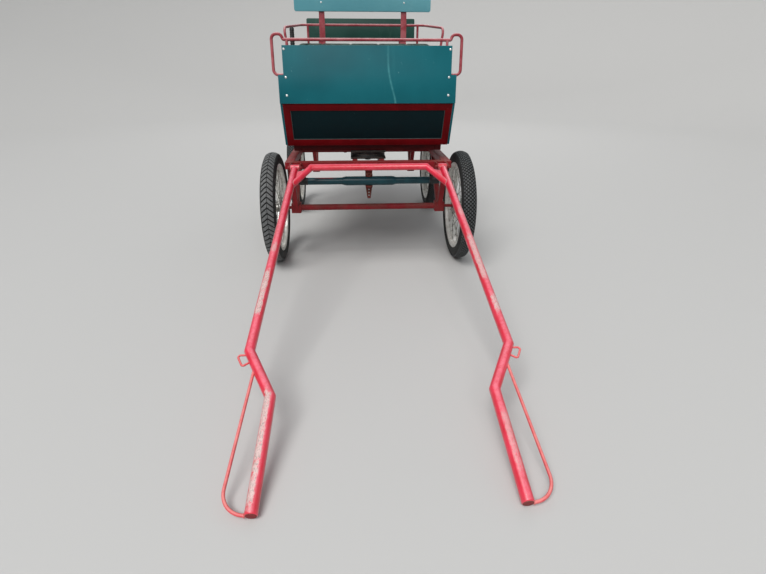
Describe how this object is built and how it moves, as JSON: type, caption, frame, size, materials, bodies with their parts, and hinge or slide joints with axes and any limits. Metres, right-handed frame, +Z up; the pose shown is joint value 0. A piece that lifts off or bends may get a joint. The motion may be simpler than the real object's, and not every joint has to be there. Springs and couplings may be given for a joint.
{
  "type": "four-wheel horse-drawn carriage",
  "caption": "Open leisure carriage for a single horse: steel frame, board body with two benches, wire wheels, steering forecarriage and a pair of lifting shafts.",
  "frame": {"origin": "on the ground under the centre of the whole length, from shaft tips to rear step, and of the width", "axes": "-Y towards the front, where the shafts are; +X to the left of someone facing the front, which is the right of the picture; +Z up"},
  "size_m": [1.282, 3.8912, 1.7422],
  "materials": {
    "tyre": "matt, dusty",
    "rim": "satin",
    "hub": "satin zinc",
    "frame_red": "gloss",
    "shaft_red": "gloss, faded and worn",
    "black_iron": "satin, greased",
    "green_panel": "smooth coated board",
    "dark_panel": "smooth coated board",
    "cushion": "matt vinyl",
    "tree_paint": "worn gloss paint",
    "rubber": "matt"
  },
  "bodies": {
    "carriage": {"chassis_frame": "frame_red", "chassis_cross_members": "frame_red", "floor": "dark_panel", "toe_frame": "frame_red", "toe_board": "dark_panel", "dash": "green_panel", "dash_rail": "frame_red", "side_panel_left": "green_panel", "side_panel_right": "green_panel", "rear_side_panel_left": "green_panel", "rear_side_panel_right": "green_panel", "tail_panel": "green_panel", "driver_seat_box": "dark_panel", "driver_cushion": "cushion", "driver_back_bars": "frame_red", "driver_backrest": "green_panel", "seat_rail": "frame_red", "rear_seat_box": "dark_panel", "rear_cushion": "cushion", "rear_back_bars": "frame_red", "rear_backrest": "green_panel", "brake_lever": "frame_red", "brake_grip": "rubber", "rear_step": "frame_red", "rear_axle": "frame_red", "turntable_upper": "black_iron"},
    "forecarriage": {"fore_frame": "frame_red", "front_axle": "frame_red", "turntable_lower": "black_iron", "tree_hanger": "frame_red"},
    "swingletree": {"swingletree": "tree_paint", "swingletree_ends": "rubber"},
    "shafts": {"shaft_left": "shaft_red", "shaft_right": "shaft_red", "shaft_cross_tube": "shaft_red", "shaft_guards": "shaft_red", "shaft_hooks": "shaft_red"},
    "front_left_wheel": {"front_left_tyre": "tyre", "front_left_rim": "rim", "front_left_hub": "hub"},
    "front_right_wheel": {"front_right_tyre": "tyre", "front_right_rim": "rim", "front_right_hub": "hub"},
    "rear_left_wheel": {"rear_left_tyre": "tyre", "rear_left_rim": "rim", "rear_left_hub": "hub"},
    "rear_right_wheel": {"rear_right_tyre": "tyre", "rear_right_rim": "rim", "rear_right_hub": "hub"}
  },
  "joints": [
    {"name": "steering", "type": "hinge", "parent": "carriage", "child": "forecarriage", "pos_m": [0, 0.10562, 0.668], "axis": [0, 0, 1], "range_deg": [-50, 50]},
    {"name": "shaft_lift", "type": "hinge", "parent": "forecarriage", "child": "shafts", "pos_m": [0, -0.16638, 0.652], "axis": [-1, 0, 0], "range_deg": [0, 75]},
    {"name": "swingletree_pivot", "type": "hinge", "parent": "forecarriage", "child": "swingletree", "pos_m": [0, -0.11638, 0.563], "axis": [0, 0, 1], "range_deg": [-15, 15]},
    {"name": "front_left_wheel_spin", "type": "hinge", "parent": "forecarriage", "child": "front_left_wheel", "pos_m": [-0.5925, 0.10562, 0.345], "axis": [1, 0, 0], "continuous": true},
    {"name": "front_right_wheel_spin", "type": "hinge", "parent": "forecarriage", "child": "front_right_wheel", "pos_m": [0.5925, 0.10562, 0.345], "axis": [1, 0, 0], "continuous": true},
    {"name": "rear_left_wheel_spin", "type": "hinge", "parent": "carriage", "child": "rear_left_wheel", "pos_m": [-0.5925, 1.37562, 0.345], "axis": [1, 0, 0], "continuous": true},
    {"name": "rear_right_wheel_spin", "type": "hinge", "parent": "carriage", "child": "rear_right_wheel", "pos_m": [0.5925, 1.37562, 0.345], "axis": [1, 0, 0], "continuous": true}
  ]
}
